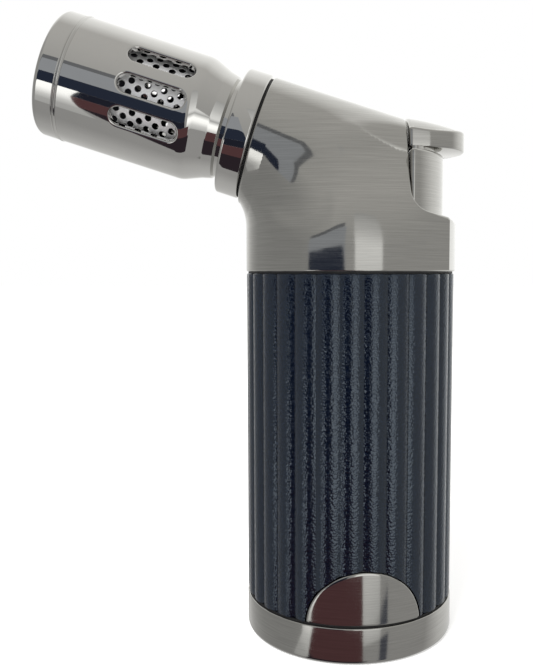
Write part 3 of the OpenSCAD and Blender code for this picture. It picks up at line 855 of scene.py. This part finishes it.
def build_pad():
    """Flat in front and round behind, with a domed top and rounded edges."""
    front, end = PAD_LO[0], PAD_HI[0]
    half, count, corner = PAD_HI[1], 320, 0.62
    arc = arc_points(half, np.linspace(-math.pi / 2, math.pi / 2, 97), (end - half, 0))
    plan = round_profile([(front, 0), (front, -half)] + arc + [(front, half), (front, 0)],
                         [corner] + [0] * 97 + [corner], 7)[:-1]
    plan = even_loop(plan, count)
    low, under, edge = PAD_LO[2], 0.3, 0.55
    rows = [np.column_stack([inset(plan, under * rise), np.full(count, low + under * fall)])
            for fall, rise in quarter(4)]
    rim = pad_top(*inset(plan, edge).T)
    for share in (0.35, 0.7):
        rows.append(np.column_stack([plan, low + under + (rim - edge - low - under) * share]))
    # The edge stops short of a full quarter turn, where the dome takes over
    for t in np.linspace(0, math.pi / 2 * 0.86, 7):
        p = inset(plan, edge * (1 - math.cos(t)))
        rows.append(np.column_stack([p, rim - edge * (1 - math.sin(t))]))
    inner = inset(plan, edge)
    mid = np.array([(front + end) / 2 - 0.5, 0])
    for share in np.linspace(1, 0.03, 30):
        p = mid + (inner - mid) * share
        rows.append(np.column_stack([p, pad_top(p[:, 0], p[:, 1])]))
    verts, faces = ring_solid(rows, high=[mid[0], 0, pad_top(mid[0], 0)])
    put_mesh("ThumbPad", verts, faces, "trigger", "gunmetal_brushed", ["thumb_pad"], sharp=28)


# ---- Collar, barrel and liner ----
COLLAR_S0, COLLAR_S1, NECK_S = 18.2, 22.3, 23.3
COLLAR_R = TUBE_R + 0.2
BARREL_IN_R = 10.2
MOUTH_S = 55.69
BEAD_S = 51.7
SLOT_S, SLOT_L, SLOT_W = 30.1, 11.8, 3.3
SLOT_TURN = math.radians(3)
LINER_R = 9.0
LINER_S0, LINER_S1 = 29.2, 47.0


def build_collar():
    """A closed ring; its thin lip covers part of the black gasket behind it."""
    root_s, lip_s = COLLAR_S0 - 2, COLLAR_S0 - 0.2
    bore_r, neck_r, root_r, lip_r = 8.3, 8.9, 10.1, 10.8
    profile = round_profile(
        [(bore_r, root_s), (root_r, root_s), (root_r, COLLAR_S0), (lip_r, COLLAR_S0), (lip_r, lip_s),
         (COLLAR_R, lip_s), (COLLAR_R, COLLAR_S1), (neck_r, COLLAR_S1), (neck_r, NECK_S),
         (bore_r, NECK_S), (bore_r, root_s)],
        [0, 0, 0, 0, 0.4, 0.45, 0, 0, 0], 7)[:-1]
    b = Builder()
    b.grid(turned(profile, AXIS_AT, AXIS, UPPER, 256), flip=True, ring=True)
    verts, faces, _ = b.arrays()
    put_mesh("CollarRing", verts, faces, "housing", "black_chrome", ["collar_ring"], sharp=30)


def slot_patch(b, middle, s_low, s_high, half_turn):
    """Barrel wall round one air slot, with a rolled lip and the wall's thickness."""
    end_r = SLOT_W / 2
    c0, c1 = SLOT_S + end_r, SLOT_S + SLOT_L - end_r
    reach = half_turn * TUBE_R
    lip = 0.4

    def end_rays(centre, sign, limit):
        """Rays from a slot's end centre to the patch's border, with its corners among them."""
        corner = math.atan2(reach, abs(limit - centre))
        angles = [*np.linspace(-math.pi / 2, -corner, 5)[:-1], *np.linspace(-corner, corner, 17),
                  *np.linspace(corner, math.pi / 2, 5)[1:]]
        made = []
        for a in angles:
            d = np.array([math.sin(a), sign * math.cos(a)])
            far = min(reach / max(abs(d[0]), 1e-9), abs(limit - centre) / max(abs(d[1]), 1e-9))
            made.append(([0, centre], d, far))
        return made

    def side_rays(start, end, way):
        return [([0, s], [way, 0], reach) for s in np.linspace(start, end, 14)[1:-1]]

    rays = end_rays(c1, 1, s_high) + side_rays(c1, c0, 1)
    rays += end_rays(c0, -1, s_low)[::-1] + side_rays(c0, c1, -1)
    start, way, far = (np.array(part, float) for part in zip(*rays))
    far = far[:, None]
    rows, normals = [], []

    def row(out, radius, lean):
        flat = start + way * out
        turn = middle + flat[:, 0] / TUBE_R
        rows.append(on_cylinder(radius, turn, flat[:, 1]))
        inward = -(way[:, :1] * away_from_axis(turn + math.pi / 2) + way[:, 1:] * AXIS)
        normals.append(math.cos(lean) * away_from_axis(turn) + math.sin(lean) * inward)

    row(end_r, BARREL_IN_R, math.pi / 2)
    for t in np.linspace(math.pi / 2, 0, 7):
        row(end_r + lip * (1 - math.sin(t)), TUBE_R - lip * (1 - math.cos(t)), t)
    for share in (0.35, 1.0):
        row((end_r + lip) * (1 - share) + far * share, TUBE_R, 0)
    b.grid(rows, normals)


def build_barrel():
    """Neck and mouth turned from profiles, with patches round the air slots between them."""
    sides = 288
    b = Builder()
    s_low, s_high = 29.75, SLOT_S + SLOT_L + 1.2
    half_turn = math.radians(15)

    def lathe(profile):
        """Turned rows with normals taken from the profile."""
        p = np.array(profile, float)
        along = unit(np.gradient(p, axis=0))
        turn = full_turn(sides)
        away = away_from_axis(turn)
        b.grid([on_cylinder(r, turn, np.full(sides, s)) for r, s in p],
               [station * away - radial * AXIS for radial, station in along])

    # From the collar the neck swells to the tube
    lathe(round_profile(
        [(8.3, NECK_S), (8.95, NECK_S), (9.35, NECK_S + 0.4), (9.8, 25.4), (TUBE_R, 28.8),
         (TUBE_R, s_low)],
        [0.12, 0.15, 2.0, 4.5], 10))
    # A raised bead between two shallow grooves, then the mouth's rounded rim
    bead, dip, groove_r, bead_r = 0.32, 0.12, TUBE_R - 0.10, TUBE_R + 0.16
    mouth_r, throat_s = TUBE_R - 0.012, MOUTH_S - 3
    lathe(round_profile(
        [(TUBE_R, s_high), (TUBE_R, BEAD_S - bead - dip), (groove_r, BEAD_S - bead),
         (bead_r, BEAD_S), (groove_r, BEAD_S + bead), (TUBE_R, BEAD_S + bead + dip),
         (mouth_r, MOUTH_S), (BARREL_IN_R, MOUTH_S), (BARREL_IN_R, throat_s)],
        [0.1, 0.06, 0.2, 0.06, 0.1, 0.85, 0.12], 7))
    lathe([(BARREL_IN_R, throat_s - 0.01), (BARREL_IN_R, s_high + 0.02), (BARREL_IN_R, s_high)])
    lathe([(BARREL_IN_R, s_low), (BARREL_IN_R, 29), (8.9, 27.6)])
    for side in (math.pi / 2, -math.pi / 2):
        for lean in (-1, 0, 1):
            slot_patch(b, side + SLOT_TURN + lean * 2 * half_turn, s_low, s_high, half_turn)
    # The wall between the two groups of slots
    stations = (s_low, (s_low + s_high) / 2, s_high)
    for middle in (0, math.pi):
        turn = middle + SLOT_TURN + np.linspace(-1, 1, 73) * 3 * half_turn
        for radius, sign in ((TUBE_R, 1), (BARREL_IN_R, -1)):
            rows = [on_cylinder(radius, turn, np.full(73, s)) for s in stations]
            b.grid(rows, [sign * away_from_axis(turn)] * 3, wrap=False, flip=sign < 0)
    verts, faces, normals = b.arrays()
    put_mesh("FlameBarrel", verts, faces, "housing", "black_chrome", ["flame_barrel"], normals)


def build_liner():
    """Tube of round holes in staggered columns, with a plain band at each end."""
    across, cells, spots = 54, 5, 16
    step = 2 * math.pi / across
    pitch, hole_r, wall, edge, band = 2.9, 0.59, 0.4, 0.05, 0.8
    half, in_r, first_s = pitch / 2, LINER_R - wall, LINER_S0 + band
    ring = full_turn(spots)
    flat = np.stack([np.cos(ring), np.sin(ring)], 1)
    # From a cell's middle to the edge of its rhombus
    reach = 1 / (np.abs(flat[:, 0]) / (step * LINER_R) + np.abs(flat[:, 1]) / half)
    bare = np.full(spots, hole_r)
    b = Builder()

    def cell_row(spread, radius, facing, middle, s):
        """One ring of a cell; it faces 0 out, 1 into the hole or 2 towards the axis."""
        p = flat * spread[:, None]
        turn = middle + p[:, 0] / LINER_R
        away = away_from_axis(turn)
        inward = -(flat[:, :1] * away_from_axis(turn + math.pi / 2) + flat[:, 1:] * AXIS)
        return on_cylinder(radius, turn, s + p[:, 1]), (away, inward, -away)[facing]

    outside = (reach, LINER_R, 0), (bare + edge, LINER_R, 0), (bare, LINER_R - edge, 1)
    through = (bare, LINER_R - edge, 1), (bare, in_r, 1)
    inside = (bare, in_r, 2), (reach, in_r, 2)
    for i in range(across):
        odd = i % 2
        for k in range(cells - odd):
            s = first_s + half + odd * half + k * pitch
            for strip in (outside, through, inside):
                rows, normals = zip(*(cell_row(*one, i * step, s) for one in strip))
                b.grid(rows, normals, flip=True)
    turn = np.arange(across) * step
    odd = np.arange(across) % 2
    away = away_from_axis(turn)
    start, end = np.full(across, LINER_S0), np.full(across, LINER_S1)
    low, high = first_s + odd * half, first_s + cells * pitch - odd * half
    for radius, sign in ((LINER_R, 1), (in_r, -1)):
        for pair in ((start, low), (high, end)):
            b.grid([on_cylinder(radius, turn, s) for s in pair], [away * sign] * 2, flip=sign < 0)
    for station, sign in ((start, -1), (end, 1)):
        rows = [on_cylinder(r, turn, station) for r in (LINER_R, in_r)]
        b.grid(rows, [np.tile(AXIS * sign, (across, 1))] * 2, flip=sign < 0)
    verts, faces, normals = b.arrays()
    liner = put_mesh("PerforatedLiner", verts, faces, "housing", "bright_chrome",
                     ["perforated_liner"], normals)
    # The faces inside the liner and in its holes wear the near-black painted shade
    liner.data.materials.append(LINER_SHADE_PAINT)
    for face in liner.data.polygons:
        away = np.array(face.center) / MM - AXIS_AT
        away -= (away @ AXIS) * AXIS
        if np.linalg.norm(away) < LINER_R - wall / 2:
            face.material_index = 1


# ---- Springs and hose ----
def tube_piece(name, path, radius, body, slot, replaces, sides=14):
    """A round bar along a path, without twist."""
    path = np.asarray(path, float)
    along = unit(np.gradient(path, axis=0))
    aside = [0.3, 0.9, 0.2]
    side = unit(np.cross(along[0], aside))
    turn = full_turn(sides)[:, None]
    rows = []
    for at, way in zip(path, along):
        side = unit(side - way * (side @ way))
        rows.append(at + radius * (np.cos(turn) * side + np.sin(turn) * np.cross(way, side)))
    obj = put_mesh(name, *ring_solid(rows), body, slot, replaces)
    weld(obj)
    resmooth(obj, 45)
    return obj


def build_spring(name, node, x, coils, wire_r):
    """Compression spring with closed ends in the room of its CAD ring."""
    clear = 0.03
    closed_turns, closed_rise = 1.2, 2.2
    lo, hi = box_mm(node)
    coil_r = (hi[0] - lo[0]) / 2 - wire_r
    share = np.linspace(0, 1, coils * 24)
    closed, rise = closed_turns / coils, closed_rise * wire_r
    height = hi[2] - lo[2] - 2 * (wire_r + clear)
    lift = np.interp(share, [0, closed, 1 - closed, 1], [0, rise, height - rise, height])
    turn = share * coils * 2 * math.pi
    path = np.stack([x + coil_r * np.cos(turn), coil_r * np.sin(turn), lo[2] + wire_r + clear + lift], 1)
    obj = tube_piece(name, path, wire_r, "housing", "steel", [node])
    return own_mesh(obj)


def build_hose():
    """From the outlet stem up and forward to the burner, as a smooth curve through its route."""
    route = np.array([[-6, 0, 69.05], [-6, 0, 73], [-4.5, 0, 77], [0, 0, 79.3], [3.4, 0, 81.5],
                      [2.6, 0, 83.9], [-1.5, 0, 84.9], [-4.76, 0, 85.93]])
    padded = np.vstack([2 * route[0] - route[1], route, 2 * route[-1] - route[-2]])
    path = [route[0]]
    hose_r = 1.1
    for k in range(1, len(padded) - 2):
        p0, p1, p2, p3 = padded[k - 1:k + 3]
        for t in np.linspace(0, 1, 9)[1:]:
            path.append(0.5 * (2 * p1 + (p2 - p0) * t + (2 * p0 - 5 * p1 + 4 * p2 - p3) * t ** 2
                               + (3 * p1 - p0 - 3 * p2 + p3) * t ** 3))
    hose = tube_piece("GasHose", path, hose_r, None, "clear_nylon", ["gas_hose"])
    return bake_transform(hose)


# ---- Make the pieces ----
for build in (build_base, build_sleeve, build_plate, build_head, build_post, build_pad,
              build_collar, build_barrel, build_liner):
    build()
build_spring("RefillSpring", "refill_spring", REFILL_X, 6, 0.16)
build_spring("OutletSpring", "outlet_spring", VALVE_X, 6, 0.2)
build_spring("HammerSpring", "hammer_spring", PIEZO_X, 8, 0.28)
build_spring("ReturnSpring", "return_spring", PIEZO_X, 8, 0.26)
build_hose()

# ---- Camera, at the photo's place ----
scene = bpy.context.scene
camera = add_object("camera", bpy.data.cameras.new("camera"))
scene.camera = camera
camera.location = Vector((-7.865, -145.537, 65.980)) * MM
camera.rotation_mode = "QUATERNION"
camera.rotation_quaternion = Vector((0.00182, 0.99706, -0.07659)).to_track_quat("-Z", "Y")
camera.data.sensor_width = 36
camera.data.lens = 42.34
camera.data.shift_x = -0.0630
camera.data.shift_y = -0.0057
camera.data.clip_start = 0.01

# ---- Stage: a pale floor, soft surroundings and cards that only reflections see ----
scene.view_settings.view_transform = "Standard"
world = bpy.data.worlds.new("surroundings")
scene.world = world
world.use_nodes = True
sky = world.node_tree
paths = sky.nodes.new("ShaderNodeLightPath")
where = sky.nodes.new("ShaderNodeTexCoord")
split = sky.nodes.new("ShaderNodeSeparateXYZ")
sky.links.new(where.outputs["Generated"], split.inputs[0])


def grey(level):
    return (level, level, level)


def world_ramp(source, stops):
    """Radiance along one direction component, by stops of (component, radiance)."""
    return link_stops(sky, link_ramp(sky, source, 0, 1, -1, 1), stops, -1, 1)


# From below to above; behind the torch, and high and right of it, it is brightest
room = world_ramp(split.outputs["Z"], [(-0.6, (0.38, 0.375, 0.37)), (-0.1, (0.42, 0.415, 0.405)),
                                       (0.25, (0.46, 0.455, 0.44)), (0.98, (0.56, 0.55, 0.53))])
behind = world_ramp(split.outputs["Y"], [(0.0, grey(0)), (0.4, grey(0.58)), (0.95, grey(1))])
high_right = sky.nodes.new("ShaderNodeVectorMath")
high_right.operation = "DOT_PRODUCT"
high_right.inputs[1].default_value = (0.4, 0, 0.8)
sky.links.new(where.outputs["Generated"], high_right.inputs[0])
raised = world_ramp(high_right.outputs["Value"], [(-0.3, grey(0.3)), (0.2, grey(1))])
room = link_colours(sky, raised, room, link_colours(sky, behind, room, (1.2, 1.2, 1.18)))
left = world_ramp(split.outputs["X"], [(-0.85, grey(0.8)), (-0.45, grey(0))])
room = link_colours(sky, left, room, (0.31, 0.31, 0.305))
shown = link_colours(sky, paths.outputs["Is Camera Ray"], room, grey(1))
sky.links.new(shown, sky.nodes["Background"].inputs["Color"])


def glow(name, colour):
    """A material that only gives off its colour."""
    mat = bpy.data.materials.new(name)
    mat.use_nodes = True
    nodes = mat.node_tree.nodes
    nodes.remove(nodes["Principled BSDF"])
    light = nodes.new("ShaderNodeEmission")
    settle(light, Color=(*colour, 1))
    mat.node_tree.links.new(light.outputs[0], nodes["Material Output"].inputs["Surface"])
    return mat


CARD_Y = -320.0


def card(name, outline, colour, y=CARD_Y):
    """A flat reflector before the torch that only reflections show; outline as (x, z) points."""
    obj = add_mesh(name, [(x, y, z) for x, z in outline], [tuple(range(len(outline)))])
    obj.data.materials.append(glow(name, colour))
    obj.visible_camera = obj.visible_shadow = False
    obj.visible_diffuse = obj.visible_transmission = False
    return obj


def wall_card(name, x0, x1, z0, z1, colour, y=CARD_Y):
    return card(name, [(x0, z0), (x1, z0), (x1, z1), (x0, z1)], colour, y)


def fade(obj, stops):
    """Makes a card's radiance change with height, by stops of (z in millimetres, radiance)."""
    tree = obj.active_material.node_tree
    coords, parts = tree.nodes.new("ShaderNodeTexCoord"), tree.nodes.new("ShaderNodeSeparateXYZ")
    tree.links.new(coords.outputs["Object"], parts.inputs[0])
    low, high = stops[0][0], stops[-1][0]
    height = link_ramp(tree, parts.outputs["Z"], 0, 1, low * MM, high * MM)
    stops = [(z, (level, level, level * 0.985)) for z, level in stops]
    tree.links.new(link_stops(tree, height, stops, low, high), tree.nodes["Emission"].inputs["Color"])


card("card_navy", round_profile([(-341, -18), (-341, 82), (-44, 82), (-44, -18)], [26, 26], 6),
     (0.025, 0.032, 0.054))
wall_card("card_grey", -341, -44, 50, 200, (0.36, 0.375, 0.40), -322)
wall_card("card_edge", -341, -60, 200, 236, (0.17, 0.175, 0.185))
fade(wall_card("card_bright", 12, 190, -150, 330, grey(1)),
     [(-150, 0.6), (-89, 0.9), (-40, 1.5), (-5, 1.6), (41, 0.55), (60, 0.85), (74, 1.0), (100, 0.95),
      (165, 0.72), (330, 0.46)])
fade(card("card_mouth", [(-205, -18), (-316, -210), (-480, -500), (-760, -500), (-430, -210),
                         (-341, -18)], grey(1)),
     [(-500, 0.5), (-300, 0.55), (-190, 0.85), (-90, 1.5), (-18, 1.6)])
card("card_arm", [(-205, -18), (-44, -18), (-30, -95), (-251, -95)], (0.018, 0.020, 0.032), -319)
card("card_brown", [(-251, -95), (66, -95), (75, -262), (-345, -262)], (0.106, 0.050, 0.053), -318)
card("card_low", [(-345, -262), (110, -262), (160, -1500), (-900, -1500)], (0.030, 0.022, 0.028))
wall_card("card_blue", 190, 262, -330, -150, (0.085, 0.090, 0.110))

FLOOR = 3000
floor = add_mesh("floor", [(-FLOOR, -FLOOR, 0), (FLOOR, -FLOOR, 0), (FLOOR, FLOOR, 0),
                           (-FLOOR, FLOOR, 0)], [(0, 1, 2, 3)])
floor_mat, _, floor_shader = new_material("floor")
settle(floor_shader, Base_Color=(0.9, 0.9, 0.9, 1), Roughness=0.9, Specular_IOR_Level=0,
       Emission_Color=(1, 1, 1, 1), Emission_Strength=0.45)
floor.data.materials.append(floor_mat)
floor.visible_glossy = False

KEY_AT, KEY_TOWARDS = Vector((-0.5, -0.7, 1.1)), Vector((0, 0, 0.05))
lamp = bpy.data.lights.new("key", "AREA")
lamp.shape = "RECTANGLE"
lamp.size = lamp.size_y = 0.6
lamp.energy = 14
key = add_object("key", lamp)
key.location = KEY_AT
key.rotation_mode = "QUATERNION"
key.rotation_quaternion = (KEY_TOWARDS - KEY_AT).to_track_quat("-Z", "Y")
key.visible_glossy = False
